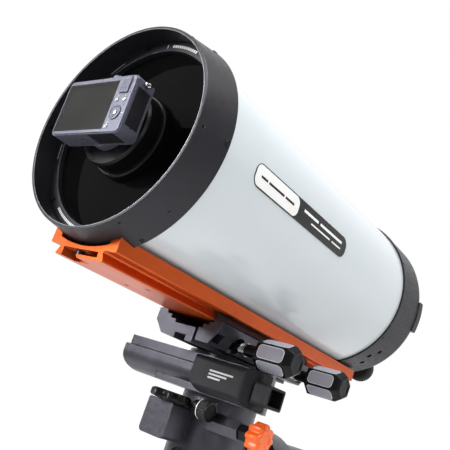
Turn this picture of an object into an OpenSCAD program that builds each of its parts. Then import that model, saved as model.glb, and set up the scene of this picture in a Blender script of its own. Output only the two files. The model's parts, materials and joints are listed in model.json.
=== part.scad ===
// Prime-focus Schmidt telescope with its camera, held in the saddle of an equatorial mount head.
// +Z is up, the tube points towards -Y and up, and the origin is the centre of the base's underside.
// Most modules draw in tube coordinates: x sideways, y away from the rail, z forwards along the
// optical axis, with z = 0 at the front face of the front ring.

/* [Pointing] */
// Height of the optical axis above the horizon, degrees
elevation = 30; // [28:1:32]
// Height of the front ring's centre above the underside of the base
tube_height = 690; // [680:1:700]
// Distance of the front ring's centre ahead of the base's centre
tube_ahead = 270; // [260:1:280]

/* [Optical tube] */
// Outer radius of the tube
tube_r = 123.8; // [123.6:0.1:123.9]
// Wall of the tube
tube_wall = 1.5; // [1.2:0.1:1.6]
// Distance from the front face to the rear cell
tube_end = 537; // [530:1:540]
// Outer radius of the front ring at its front lip
lip_r = 124.5; // [124:0.1:125]
// Outer radius of the front ring at its rear edge
ring_r = 132.5; // [132:0.1:132.6]
// Depth of the front ring
ring_depth = 46.5; // [46:0.1:47]
// Distance from the front face to the back of the rear cell
cell_back = 620; // [618:1:622]

/* [Optics] */
// Radius of the corrector plate
corrector_r = 113.4; // [112.6:0.1:113.5]
// Thickness of the corrector plate
corrector_t = 5; // [4.5:0.1:5]
// Radius of the primary mirror
mirror_r = 104; // [100:0.5:104]
// Radius of curvature of the primary mirror
mirror_curve = 860; // [800:10:1000]
// Radius of the central barrel at its rim
barrel_r = 48; // [47:0.1:48]

/* [Camera] */
// Width, height and depth of the camera body
camera_size = [108, 67, 35]; // [30:0.1:110]
// Turn of the camera about the optical axis, degrees
camera_turn = 2.2; // [-5:0.1:5]

/* [Rail and saddle] */
// Half width of the dovetail rail
rail_half = 54.2; // [54:0.1:54.5]
// Front and rear ends of the rail along the tube
rail_span = [-590.2, -25]; // [-600:1:-20]
// Front and rear ends of the saddle along the tube
saddle_span = [-459, -225]; // [-460:1:-220]
// Radius of a clamp knob over its corners
knob_r = 21; // [20:0.1:21]
// Clamp knob positions along the tube
knob_z = [-276, -408]; // [-420:1:-260]

/* [Mount head] */
// Position of the declination axis along the tube
dec_z = -342; // [-343:1:-341]
// Depth of the polar axis below the optical axis
polar_drop = 322; // [320:1:324]
// Position of the altitude pivot along the tube
pivot_along = -520; // [-522:1:-518]
// Radius of the declination housing's neck
neck_r = 52; // [51:0.5:52]
// Radius of the base
base_r = 95; // [92:1:98]
// Thickness of the base plate
base_t = 12; // [12:1:12]

/* [Hidden] */
$fn = 96;
gap = 0.05;            // radial clearance of a running fit
tilt = 90 - elevation; // turns the tube's own axes into the part's frame
cell_seat = tube_end + 12.8;
focus_at = [40, -104]; // focus screw, in tube coordinates
dec_top = -184;        // turntable face of the declination housing
dec_rim = -187.3;      // the housing's top outside the turntable, which the clamp knobs pass over
dec_low = -234;
dec_rear = dec_z - 82;
cover_front = dec_z + 84;
clamp_y = -166;
knob_turn = 25;        // turn of a clamp knob's flats about its screw
wheel_r = 52;
worm_r = 7;
worm_in = wheel_r + worm_r + 0.4; // distance between a wheel's axis and its worm's
dec_round = 64;        // radius of the declination housing round its axis
shaft_r = 17.5;
pivot_y = -polar_drop * cos(tilt) - pivot_along * sin(tilt) - tube_ahead;
pivot_z = -polar_drop * sin(tilt) + pivot_along * cos(tilt) + tube_height;
arm_x = 84;            // inner face of a yoke arm
arm_t = 14;
charcoal = [0.22, 0.22, 0.25];
pearl = [0.82, 0.85, 0.87];
orange = [0.85, 0.36, 0.12];
mount_grey = [0.42, 0.42, 0.46];
black = [0.07, 0.07, 0.08];
silver = [0.75, 0.75, 0.77];
glass = [0.12, 0.13, 0.12];
cam = camera_size / 2;
cam_y = 3;             // the camera body's centre stands this much above the optical axis
cam_front = -4;
top_z = 18;             // middle of the camera's slim body
side_hinge = 9;
door_hinge = 43;
upper_left_at = [34.9, 4.7];
upper_right_at = [45.5, 4.5];
lower_at = [32.5, -26.1];
cam_back = cam_front + camera_size[2];
cam_rear = cam_front + 9; // the body's own far side, on its mount collar

// ---- shared helpers ----

module optical() translate([0, -tube_ahead, tube_height]) rotate([tilt, 0, 0]) children();
module camera_frame() optical() rotate([0, 0, camera_turn]) translate([0, cam_y, 0]) children();
module along_x(x, y, z) translate([x, y, z]) rotate([0, 90, 0]) children();
module along_y(x, y, z) translate([x, y, z]) rotate([-90, 0, 0]) children();
module rod(r, a, b) translate([0, 0, a]) cylinder(r = r, h = b - a);
module pipe(r, bore, a, b) difference() {
  rod(r, a, b);
  rod(bore, a - 1, b + 1);
}
module box(x0, x1, y0, y1, z0, z1) translate([x0, y0, z0]) cube([x1 - x0, y1 - y0, z1 - z0]);

// A rectangle whose corners have the radii r = [left low, right low, right high, left high]
module rounded(x0, y0, x1, y1, r) difference() {
  translate([x0, y0]) square([x1 - x0, y1 - y0]);
  for (c = [[x0, y0, 1, 1, r[0]], [x1, y0, -1, 1, r[1]], [x1, y1, -1, -1, r[2]], [x0, y1, 1, -1, r[3]]])
    if (c[4] > 0) difference() {
      translate([c[0] + (c[2] > 0 ? -1 : -c[4]), c[1] + (c[3] > 0 ? -1 : -c[4])]) square(c[4] + 1);
      translate([c[0] + c[2] * c[4], c[1] + c[3] * c[4]]) circle(c[4]);
    }
}
module slab_z(z0, z1) translate([0, 0, z0]) linear_extrude(z1 - z0) children();
// Draws a profile given in (x, z) and extrudes it along y
module slab_y(y0, y1) translate([0, y1, 0]) rotate([90, 0, 0]) linear_extrude(y1 - y0) children();
// Draws a profile given in (y, z) and extrudes it along x
module slab_x(x0, x1) translate([x0, 0, 0]) rotate([90, 0, 90]) linear_extrude(x1 - x0) children();

// Small screws that stand radially out of the front ring and the rear cell
module radial_screw(a, z, r, size) rotate([0, 0, a]) along_x(r - 4, 0, z)
  cylinder(r = size, h = 4.6, $fn = 24);
module ring_screw_set() {
  for (k = [0 : 5]) {
    radial_screw(60 * k, -8, 125.9, 2.2);
    radial_screw(60 * k, -42, 132, 3);
  }
  for (a = [-40, 220, 90]) radial_screw(a, -32, 130.2, 2);
  for (k = [0 : 5]) radial_screw(60 * k + 30, -545, 126.2, 2.4);
}
module retaining_places() for (k = [0 : 5]) rotate([0, 0, 44 + 60 * k]) translate([120.2, 0, 0]) children();

// ---- front of the tube ----

module front_ring() color(charcoal) optical() difference() {
  rotate_extrude($fn = 180) polygon([
    [lip_r - 3.2, 0], [lip_r, 0], [lip_r + 0.7, -1.2], [ring_r, 1 - ring_depth],
    [ring_r - 0.8, -ring_depth], [tube_r + 0.2, -ring_depth], [tube_r + 0.2, -34], [122, -34],
    [122, -45], [103, -45], [103, -40.2], [corrector_r + 0.4, -40.2], [corrector_r + 0.4, -31],
    [124.8, -31]
  ]);
  ring_screw_set();
  retaining_places() rod(1.25, -36, -30);
}

module retaining_ring() color(charcoal) optical() difference() {
  rotate_extrude($fn = 180) polygon([
    [111.9, -34.9], [111.9, -28.6], [112.5, -28], [124.2, -28], [124.2, -31], [113.6, -31],
    [113.6, -34.9]
  ]);
  retaining_places() rod(1.3, -40, -20);
}

module retaining_ring_screws() color(silver) optical() retaining_places() difference() {
  union() {
    rod(1.2, -35.5, -28);
    rod(2.5, -28, -26.2);
  }
  slab_z(-27.4, -20) circle(1.4, $fn = 6);
}

module corrector_plate() color(glass) optical() pipe(corrector_r, 38, -40.1, corrector_t - 40.1);

module lens_barrel() color(black) optical() rotate_extrude() polygon([
  [33, -72], [36, -72], [37.9, -68], [37.9, -35], [52, -35], [52, -27], [50.5, -25.5],
  [48.4, -25.5], [barrel_r, -8], [barrel_r - 1.6, -4.6], [40, -4.6], [40, -12], [33, -12]
]);

module barrel_nut() color(black) optical() pipe(46, 37.95, -46.5, -40.2);

// One lens of the field corrector, thick at its middle and bounded by two faces of radius curve
function sag(r, curve) = curve - sqrt(curve * curve - r * r);
module lens(z, r, thick, curve) translate([0, 0, z]) rotate_extrude() polygon(concat(
  [for (k = [0 : 6]) [r * k / 6, thick / 2 - sag(r * k / 6, curve)]],
  [for (k = [6 : -1 : 0]) [r * k / 6, sag(r * k / 6, curve) - thick / 2]]
));
module field_lenses() color(glass) optical() {
  lens(-20, 32.9, 7, 180);
  lens(-33, 32.9, 6, 220);
  lens(-48, 32.9, 8, 200);
  lens(-63, 32.9, 10, 150);
}

// ---- tube and rear cell ----

module optical_tube() color(pearl) optical() difference() {
  pipe(tube_r, tube_r - tube_wall, -cell_seat, -34.2);
  ring_screw_set();
}

// Rounded label that follows the tube's skin on its right side
module tube_label() color(black) optical() intersection() {
  pipe(tube_r + 0.5, tube_r, -334, -105);
  slab_x(100, 130) translate([2, 0]) rounded(-14, -333, 14, -106, [12, 12, 12, 12]);
}

module tube_screws() color(silver) optical() difference() {
  ring_screw_set();
  for (k = [0 : 5]) rotate([0, 0, 60 * k]) {
    along_x(125.6, 0, -8) cylinder(r = 1.1, h = 9, $fn = 6);
    along_x(131.6, 0, -42) cylinder(r = 1.5, h = 9, $fn = 6);
  }
}

module rear_cell() color(charcoal) optical() difference() {
  union() {
    rotate_extrude($fn = 180) polygon([
      [tube_r + 0.2, -tube_end], [126.8, -tube_end], [126.9, -540], [126.2, -541.2],
      [125.6, -606], [124, -612], [119, -618], [112, -cell_back], [26, -cell_back],
      [26, -612], [119.5, -612], [119.5, -cell_seat - 0.2], [tube_r + 0.2, -cell_seat - 0.2]
    ]);
    for (a = [-2, 178]) rotate([0, 0, a]) intersection() {
      pipe(127.4, 114, -cell_back, -606);
      slab_x(100, 130) rounded(-25, -cell_back - 9, 25, -606, [0, 0, 5, 5]);
    }
  }
  ring_screw_set();
  for (v = [[-55, -573], [-47, -563], [-40, -573]])
    rotate([0, 0, v[0]]) along_x(110, 0, v[1]) cylinder(r = 4.1, h = 20);
  translate([focus_at[0], focus_at[1], 0]) rod(5 + gap, -640, -600);
  translate([-70, 60, 0]) rod(5.5, -640, -600);
}

module guide_tube() color(silver) optical() {
  pipe(21.9, 17, -611.9, -520);
  difference() {
    rod(34, -611.9, -606);
    rod(21, -620, -600);
  }
}

module fan_frame() color(black) optical() difference() {
  slab_z(-cell_back - 16, -cell_back - 0.1) rounded(-31, -31, 31, 31, [6, 6, 6, 6]);
  difference() {
    rod(28, -cell_back - 15, -cell_back + 2);
    for (a = [0, 120, 240]) rotate([0, 0, a]) box(8, 29, -1.5, 1.5, -cell_back - 3, -cell_back + 2);
    rod(12, -cell_back - 3, -cell_back + 2);
  }
  difference() {
    for (r = [10 : 5 : 25]) pipe(r + 2.6, r, -cell_back - 20, -cell_back - 10);
    for (a = [0, 90]) rotate([0, 0, a]) box(-40, 40, -1.2, 1.2, -cell_back - 21, -cell_back - 9);
  }
  rod(3 + gap, -cell_back - 14, -cell_back + 2);
}

module fan_rotor() color(black) optical() {
  rod(11, -cell_back - 14.2, -cell_back - 4);
  rod(3, -cell_back - 4, -cell_back - 1);
  for (k = [0 : 6]) rotate([0, 0, 360 / 7 * k]) translate([10, 0, -cell_back - 9])
    rotate([35, 0, 0]) translate([0, -5.5, -0.7]) cube([16.5, 11, 1.4]);
}

module power_jack() color(black) optical() translate([-70, 60, 0]) {
  pipe(5.4, 2.8, -622, -602);
  pipe(8, 2.8, -623.5, -cell_back - 0.1);
  rod(1, -622, -602.5);
  rod(5.4, -603, -602);
}

// ---- mirror and focuser ----

module primary_mirror() color(silver) optical() difference() {
  rod(mirror_r, -590, -566);
  translate([0, 0, mirror_curve - 584]) sphere(mirror_curve, $fn = 200);
  rod(26.1, -600, -500);
}

module mirror_carrier() color(mount_grey) optical() difference() {
  union() {
    rod(26, -597, -558);
    rod(62, -597, -590.1);
    translate([focus_at[0], focus_at[1], 0]) rod(7.4, -597, -590.1);
    rotate([0, 0, atan2(focus_at[1], focus_at[0])]) box(20, 111, -8, 8, -597, -590.1);
  }
  rod(21.9 + gap, -610, -540);
  translate([focus_at[0], focus_at[1], 0]) rod(3 + gap, -610, -580);
}

module focus_screw() color(silver) optical() translate([focus_at[0], focus_at[1], 0]) {
  rod(3, -611, -575);
  rod(5, -cell_back - 3.9, -611);
}

module focus_knob() color(black) optical() translate([focus_at[0], focus_at[1], 0]) difference() {
  union() {
    rod(20.5, -cell_back - 26, -cell_back - 4);
    rod(17, -cell_back - 28, -cell_back - 4);
    rod(22.5, -cell_back - 22, -cell_back - 7);
  }
  rod(12, -cell_back - 30, -cell_back - 26.5);
}

// ---- dovetail rail ----

module rail_profile() {
  difference() {
    polygon([
      [-rail_half, -117.7], [-rail_half, -134], [-rail_half + 1, -135], [-36.4, -135],
      [-35.4, -137], [-39.4, -145.3], [-39.4, -146.5], [-38.6, -147.3], [38.6, -147.3],
      [39.4, -146.5], [39.4, -145.3], [35.4, -137], [36.4, -135], [rail_half - 1, -135],
      [rail_half, -134], [rail_half, -117.7]
    ]);
    circle(128.8, $fn = 360);
    intersection() {
      circle(133.4, $fn = 360);
      translate([-41, -140]) square([82, 60]);
    }
    translate([-29, -143.6]) square([58, 6.2]);
  }
}

module dovetail_rail() color(orange) optical() difference() {
  slab_z(rail_span[0], rail_span[1]) rail_profile();
  rotate_extrude($fn = 180) polygon([
    [100, 2], [lip_r + 1.2, 2], [ring_r + 0.3, 1.2 - ring_depth], [ring_r + 0.3, -ring_depth - 0.4],
    [100, -ring_depth - 0.4]
  ]);
  box(-29, -3, -150, -142, -46, -20);
  rail_screw_places() rod(3.1, -2, 40);
  along_y(-12, -150, -36) cylinder(r = 5.2, h = 30);
}

// Screws that hold the rail, driven in from its underside; each child points away from the rail's foot
module rail_screw_places() for (z = [-120, -500], x = [-18, 18]) along_y(x, -147.3, z) children();

module rail_screws() color(black) optical() {
  rail_screw_places() rod(3, 0.6, 3.2);
  difference() {
    along_y(-12, -143.6, -36) cylinder(r = 5, h = 10);
    along_y(-12, -144, -36) cylinder(r = 2.6, h = 4, $fn = 6);
  }
}

// ---- camera ----

module camera_adapter() color(black) optical() rotate_extrude() polygon([
  [22, -11.9], [40 - gap, -11.9], [40 - gap, -5], [29, -5], [29, cam_front], [22, cam_front]
]);

module camera_lens_mount() color(silver) optical() pipe(28, 22, cam_front, cam_front + 2.4);

module camera_outline(grow)
  rounded(-cam[0] - grow, -cam[1] - grow, cam[0] + grow, cam[1] + grow, [5, 5, 5, 5]);

module camera_body() color([0.3, 0.31, 0.36]) camera_frame() difference() {
  union() {
    slab_z(cam_rear, cam_back - 1.5) camera_outline(0);
    translate([0, -cam_y, 0]) rod(31.5, cam_front, cam_rear + 1);
    slab_z(cam_back - 1.5, cam_back) camera_outline(-0.9);
    slab_z(14, cam_back + 1.6) rounded(33, 12, 47, cam[1] - 2, [2, 2, 2, 2]);
  }
  translate([0, -cam_y, 0]) {
    rod(28.05, cam_front - 1, cam_front + 2.5);
    rod(21, cam_front - 1, cam_rear + 12);
  }
  box(-52.2, 28.2, -29.2, 28.2, cam_back - 2, cam_back + 1);
  translate([39, -10.8, 0]) rod(8.1, cam_back - 2.5, cam_back + 1);
  for (b = [upper_left_at, upper_right_at, lower_at])
    translate([b[0], b[1], 0]) rod(2.6, cam_back - 4.5, cam_back + 2);
  along_y(32, cam[1] - 5, top_z) cylinder(r = 6.3, h = 7);
  along_y(-12, -cam[1] - 1, top_z) cylinder(r = 2.7, h = 8);
  along_y(14, cam[1] - 2, top_z) cylinder(r = 10.1, h = 5);
  box(cam[0] - 1.6, cam[0] + 1, -22, 22, side_hinge - 1.4, 26.2);
  box(4, 44, -cam[1] - 1, 1.6 - cam[1], 8, 28);
  box(cam[0] - 1.7, cam[0] + 1, -23.8, -21.9, 16, 18);
}

module camera_screen() color(black) camera_frame() difference() {
  box(-52, 28, -29, 28, cam_back - 1.9, cam_back - 0.2);
  box(-48, 24, -25, 25, cam_back - 0.5, cam_back + 1);
}

module strap_lugs() color(silver) camera_frame() for (s = [-1, 1]) difference() {
  union() {
    along_x(s * (cam[0] + 2) - 2, 27, top_z) cylinder(r = 1.4, h = 4);
    along_y(s * (cam[0] + 4), 27, top_z) pipe(4.6, 3.2, -0.9, 0.9);
  }
  box(-cam[0], cam[0], 0, 40, 0, 32);
}

module shutter_button() color(silver) camera_frame() along_y(32, cam[1] - 2.9, top_z) difference() {
  cylinder(r = 6.2, h = 4.6);
  translate([0, 0, 34]) sphere(30);
}

module mode_dial() color(silver) camera_frame() along_y(14, cam[1] - 1.9, top_z) difference() {
  cylinder(r = 10, h = 6);
  for (k = [0 : 23]) rotate([0, 0, 15 * k]) translate([10.3, 0, 1]) cylinder(r = 0.6, h = 6, $fn = 16);
}

module control_ring() color(silver) camera_frame() translate([39, -10.8, 0]) difference() {
  rod(8, cam_back - 2.4, cam_back + 1.2);
  pipe(6.6, 3.4, cam_back + 0.5, cam_back + 2);
  for (a = [0 : 90 : 270]) rotate([0, 0, a]) translate([5, 0, 0]) rod(0.7, cam_back, cam_back + 2, $fn = 16);
}

module rear_button(at) camera_frame() translate([at[0], at[1], 0]) {
  rod(2.5, cam_back - 2.9, cam_back + 0.6);
  rod(2, cam_back + 0.6, cam_back + 0.9);
}
module upper_left_button() color(silver) rear_button(upper_left_at);
module upper_right_button() color(silver) rear_button(upper_right_at);
module lower_button() color(silver) rear_button(lower_at);

module port_door() color([0.1, 0.1, 0.12]) camera_frame() {
  box(cam[0] - 1.5, cam[0] - 0.1, -21.8, 21.8, side_hinge, 26);
  along_y(cam[0] - 0.8, -21.8, side_hinge) cylinder(r = 0.7, h = 43.6);
}

module battery_door() color([0.1, 0.1, 0.12]) camera_frame() {
  box(4.2, door_hinge, 0.1 - cam[1], 1.5 - cam[1], 8.2, 27.8);
  translate([door_hinge, 0.8 - cam[1], 0]) rod(0.7, 8.2, 27.8);
}

// ---- saddle ----

// Places a child on each clamp screw's axis, its +z pointing to the knob
module clamp_axis(k) along_x(0, clamp_y, knob_z[k]) children();

module saddle_body() color(mount_grey) optical() difference() {
  slab_z(saddle_span[0], saddle_span[1]) polygon([
    [-55, -147.4], [-55, -162], [-39.5, -178], [-16, -180], [-16, -172.6], [3, -172.6],
    [3, -180], [14.5, -180], [14.5, -160.8], [-22, -160.8], [-22, -156.5], [-31, -156.5],
    [-31, -151.5], [-39.8, -151.5], [-39.8, -145], [-36, -137.4], [-36.4, -136.4], [-42, -136.4],
    [-44.5, -143]
  ]);
  for (k = [0, 1]) clamp_axis(k) rod(5 + gap, -14, 40);
}
module moving_jaw() color(mount_grey) optical() difference() {
  slab_z(saddle_span[0], saddle_span[1]) polygon([
    [19, -159.4], [19, -174.5], [20.5, -176], [40, -176], [49.5, -160], [55, -147.4],
    [44.5, -143], [42, -136.4], [36.4, -136.4], [36, -137.4], [39.8, -145], [39.8, -150],
    [33.5, -150], [33.5, -153.8], [25, -153.8], [25, -159.4]
  ]);
  for (k = [0, 1]) clamp_axis(k) {
    rod(5 + gap, 10, 60);
    rod(12, 36, 70);
  }
  for (z = saddle_span) translate([0, 0, z + (z > dec_z ? -19 : 3)])
    slab_z(0, 16) rounded(28, -172.5, 70, -160.5, [3, 3, 3, 3]);
  slab_z((knob_z[0] + knob_z[1]) / 2 - 34, (knob_z[0] + knob_z[1]) / 2 + 34)
    polygon([[47, -180], [47, -166], [60, -150], [60, -180]]);
}

// Hand knob with six flats, its collar and the stud moulded into it
module clamp_knob(k) color(black) optical() clamp_axis(k) {
  rod(5, -8, 86);
  rod(8.5, 44.5, 52);
  rotate([0, 0, knob_turn]) {
    translate([0, 0, 84]) cylinder(r1 = knob_r - 4, r2 = knob_r, h = 4, $fn = 6);
    translate([0, 0, 88]) cylinder(r = knob_r, h = 47, $fn = 6);
    translate([0, 0, 135]) cylinder(r1 = knob_r, r2 = knob_r - 5, h = 5, $fn = 6);
  }
}
module front_clamp_knob() clamp_knob(0);
module rear_clamp_knob() clamp_knob(1);

// ---- declination axis ----

module dec_axis() optical() translate([0, 0, dec_z]) rotate([-90, 0, 0]) children();

module dec_shaft() color(silver) dec_axis() {
  rod(dec_round - 2, dec_top + 0.4, dec_top + 4);
  rod(shaft_r, -304, dec_top + 0.4);
}

module dec_wheel() color([0.75, 0.6, 0.3]) dec_axis() difference() {
  pipe(wheel_r, shaft_r, -214, -202);
  for (k = [0 : 5]) rotate([0, 0, 60 * k]) translate([34, 0, 0]) rod(8, -220, -200);
}

module worm(x0, x1) {
  rod(worm_r, x0, x1);
  rod(3, x0 - 5, x1 + 5);
}
module dec_worm() color(silver) optical() along_x(0, -208, dec_z + worm_in) worm(-24, 24);

module dec_bearings() color(silver) dec_axis() for (y = [-250, -302]) pipe(30, shaft_r + gap, y, y + 12);

// Plan of the housing in (x, z): a block to the left, a round back and a narrow arm to the right
module dec_outline(left, front, corners) {
  rounded(left, dec_rear, 20, dec_z + front, corners);
  intersection() {
    translate([0, dec_z]) circle(dec_round);
    translate([left, dec_rear]) square(200);
  }
  rounded(0, dec_z + 42, 96, dec_z + front, [0, 8, 15, 0]);
}

module dec_housing() color(mount_grey) optical() difference() {
  union() {
    slab_y(-200, dec_rim) dec_outline(-127, 80, [14, 4, 4, 8]);
    translate([0, 0, dec_z]) rotate([-90, 0, 0]) rod(dec_round, -195, dec_top);
    slab_y(dec_low, -199) dec_outline(-60, 78, [2, 4, 4, 2]);
    translate([0, 0, dec_z]) rotate([-90, 0, 0]) rod(neck_r, -polar_drop - 50, -230);
    translate([0, -polar_drop, 0]) rod(46, dec_z - 86, dec_z);
    slab_z(-300, -248) rounded(-41, -302, 2, -256.5, [6, 6, 3, 3]);
    along_x(20, -262, -303) cylinder(r = 13.5, h = 55.6, $fn = 6);
  }
  translate([0, 0, dec_z]) rotate([-90, 0, 0]) {
    rod(wheel_r + 3, -220, -197);
    rod(shaft_r + 4, -240, -180);
    rod(30, -303, -219);
    rod(shaft_r + 4, -314, -300);
  }
  box(-34, 34, -217, -199, dec_z + worm_in - 17, dec_z + worm_in + 9);
  slab_z(-299, -190) rounded(3, -263, 41, -239, [11.9, 11.9, 11.9, 11.9]);
  translate([0, -polar_drop, 0]) rod(shaft_r, dec_z - 90, dec_z - 60);
  translate([0, -polar_drop, 0]) rod(17, dec_z + 42, dec_z + 60);
  along_y(-15, -285, -258) cylinder(r = 5 + gap, h = 40);
  along_x(40, -262, -303) cylinder(r = 5 + gap, h = 40);
  dec_counterweight_bore();
}
module dec_counterweight_bore() along_y(0, -polar_drop - 60, dec_z) cylinder(r = 9, h = 36);

module dec_motor_cover() color(mount_grey) optical() difference() {
  intersection() {
    slab_x(-127, 2.6) rounded(dec_low, dec_rear, -200.5, cover_front, [14, 2, 2, 24]);
    slab_z(dec_rear, cover_front) rounded(-127, dec_low, 2.6, -200.5, [20, 0.5, 0.5, 2]);
  }
  intersection() {
    slab_x(-123, -60.3) rounded(dec_low + 4, dec_rear + 4, -190, cover_front - 4, [10, 2, 2, 20]);
    slab_z(dec_rear + 4, cover_front - 4) rounded(-123, dec_low + 4, -60.3, -190, [16, 0.5, 0.5, 2]);
  }
  box(-60.4, 10, dec_low - 1, -190, dec_rear - 1, dec_z + 78.3);
}

module dec_front_cover() color([0.2, 0.2, 0.22]) optical() difference() {
  intersection() {
    slab_y(dec_low + 0.5, dec_rim - 0.1) rounded(3, dec_z + 46, 101, cover_front + 2, [0.5, 1, 20, 2]);
    slab_x(0, 110) rounded(dec_low + 0.5, dec_z + 46, dec_rim - 0.1, cover_front + 2, [1, 1, 9, 9]);
    slab_z(dec_z, cover_front + 9) rounded(3, dec_low + 0.5, 101, dec_rim - 0.1, [26, 4, 2, 0.5]);
  }
  slab_y(dec_low - 10, dec_top + 5) rounded(-10, dec_rear - 10, 96.3, dec_z + 80.3, [0.5, 0.5, 15, 0.5]);
}

module dec_motor() color(black) optical() along_x(-106, -215.4, dec_z + 10) {
  cylinder(r = 14, h = 44);
  translate([0, 0, -2.5]) cylinder(r = 5, h = 2.5);
}

module port_block() color(charcoal) optical() difference() {
  slab_x(101.2, 124) rounded(-226, dec_z + 46, -200, dec_z + 81, [3, 3, 3, 3]);
  slab_x(108, 130) rounded(-223, dec_z + 49, -203, dec_z + 78, [1.5, 1.5, 1.5, 1.5]);
}

// Scalloped hand knob on a stud, drawn along z
module star_knob(r, lobes, h, stud) {
  difference() {
    cylinder(r = r, h = h);
    for (k = [0 : lobes - 1]) rotate([0, 0, 360 / lobes * k])
      translate([r + 4.5, 0, -1]) cylinder(r = 8, h = h + 2);
  }
  translate([0, 0, -stud]) cylinder(r = 5, h = stud + 1);
}
module clutch_knob() color(black) optical() along_y(-15, -256, -258) star_knob(28, 7, 12, 26);

module lock_knob() color(orange) optical() along_x(76, -262, -303) {
  cylinder(r = 11, h = 15);
  translate([0, 0, -24]) cylinder(r = 5, h = 24);
  translate([0, 0, 15]) star_knob(20, 8, 22, 1);
}

module latch_tube() color(black) optical() {
  along_x(14, -252, -277) difference() {
    union() {
      cylinder(r = 9.5, h = 26);
      translate([0, 0, 11]) cylinder(r = 12.4, h = 15);
    }
    translate([0, 0, 23]) cylinder(r = 9.5, h = 10);
  }
  box(17, 29, -257, -247, -298.9, -284);
}

// ---- polar axis ----

module polar() optical() translate([0, -polar_drop, 0]) children();

module ra_shaft() color(silver) polar() rod(shaft_r, -602, dec_z - 60);

module ra_wheel() color([0.75, 0.6, 0.3]) polar() difference() {
  pipe(wheel_r, shaft_r, -464, -452);
  for (k = [0 : 5]) rotate([0, 0, 60 * k]) translate([34, 0, 0]) rod(8, -470, -450);
}

module ra_worm() color(silver) polar() along_x(0, -worm_in, -458) worm(-24, 24);

module ra_bearings() color(silver) polar() for (z = [-498, -600]) pipe(35, shaft_r + gap, z, z + 12);

module ra_motor() color(black) polar() along_x(-34, -66, -508) cylinder(r = 15, h = 48);

module ra_housing() color(mount_grey) polar() difference() {
  union() {
    rod(70, -486, -432);
    rod(60, -612, -480);
    slab_x(-44, 44) rounded(-86, -532, -30, -440, [10, 4, 4, 10]);
    along_x(-arm_x + 0.4, 0, pivot_along) cylinder(r = 28, h = 2 * arm_x - 0.8);
    along_x(-arm_x - arm_t, 0, pivot_along) cylinder(r = 12, h = 2 * (arm_x + arm_t));
  }
  rod(wheel_r + 3, -470, -446);
  rod(35, -601, -484);
  rod(24, -620, -500);
  rod(shaft_r + 0.5, -480, -420);
  rod(shaft_r + 4, -490, -460);
  box(-33, 33, -worm_in - 9, 11 - worm_in, -468, -448);
  along_x(-36, -66, -508) cylinder(r = 16, h = 72);
  along_x(60, 0, pivot_along) cylinder(r = 5 + gap, h = 60);
}

// ---- yoke and base ----

module yoke_arm_profile() difference() {
  union() {
    polygon([[-62, 28], [82, 28], [pivot_y + 31, pivot_z + 6], [pivot_y - 31, pivot_z + 6]]);
    translate([pivot_y, pivot_z]) circle(32);
  }
  translate([pivot_y, pivot_z]) circle(12 + gap);
}

module yoke() color(mount_grey) difference() {
  union() {
    rod(base_r - 1, base_t + 0.4, 30);
    for (s = [-1, 1]) intersection() {
      slab_x(s > 0 ? arm_x : -arm_x - arm_t, s > 0 ? arm_x + arm_t : -arm_x) yoke_arm_profile();
      rod(200, 0, 300);
    }
    box(50, arm_x + arm_t, -62, 78, base_t + 0.4, 30);
    box(-arm_x - arm_t, -50, -62, 78, base_t + 0.4, 30);
  }
  rod(15 + gap, 0, 29);
  along_y(0, 60, 21) cylinder(r = 4 + gap, h = 60);
}

module altitude_knob() color(black) along_x(arm_x + arm_t + 0.4, pivot_y, pivot_z)
  star_knob(24, 7, 22, 34);

module azimuth_knob() color(black) along_y(0, base_r + 0.4, 21) {
  cylinder(r = 8, h = 20);
  translate([0, 0, -24]) cylinder(r = 4, h = 24);
}

module base_plate() color(charcoal) difference() {
  union() {
    rod(base_r, 0, base_t);
    rod(15, 0, 28);
  }
  rod(4.8, -1, 40);
  for (a = [90, 210, 330]) rotate([0, 0, a]) translate([75, 0, 0]) rod(5.2, -1, 40);
}

front_ring();
retaining_ring();
retaining_ring_screws();
corrector_plate();
lens_barrel();
barrel_nut();
field_lenses();
optical_tube();
tube_label();
tube_screws();
rear_cell();
guide_tube();
fan_frame();
fan_rotor();
power_jack();
primary_mirror();
mirror_carrier();
focus_screw();
focus_knob();
dovetail_rail();
rail_screws();
camera_adapter();
camera_lens_mount();
camera_body();
camera_screen();
strap_lugs();
shutter_button();
mode_dial();
control_ring();
upper_left_button();
upper_right_button();
lower_button();
port_door();
battery_door();
saddle_body();
moving_jaw();
front_clamp_knob();
rear_clamp_knob();
dec_shaft();
dec_wheel();
dec_worm();
dec_housing();
dec_motor_cover();
dec_front_cover();
dec_motor();
dec_bearings();
port_block();
clutch_knob();
lock_knob();
latch_tube();
ra_shaft();
ra_wheel();
ra_worm();
ra_housing();
ra_bearings();
ra_motor();
yoke();
altitude_knob();
azimuth_knob();
base_plate();
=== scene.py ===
import json
import math

import bmesh
import bpy
from mathutils import Matrix, Vector


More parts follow.
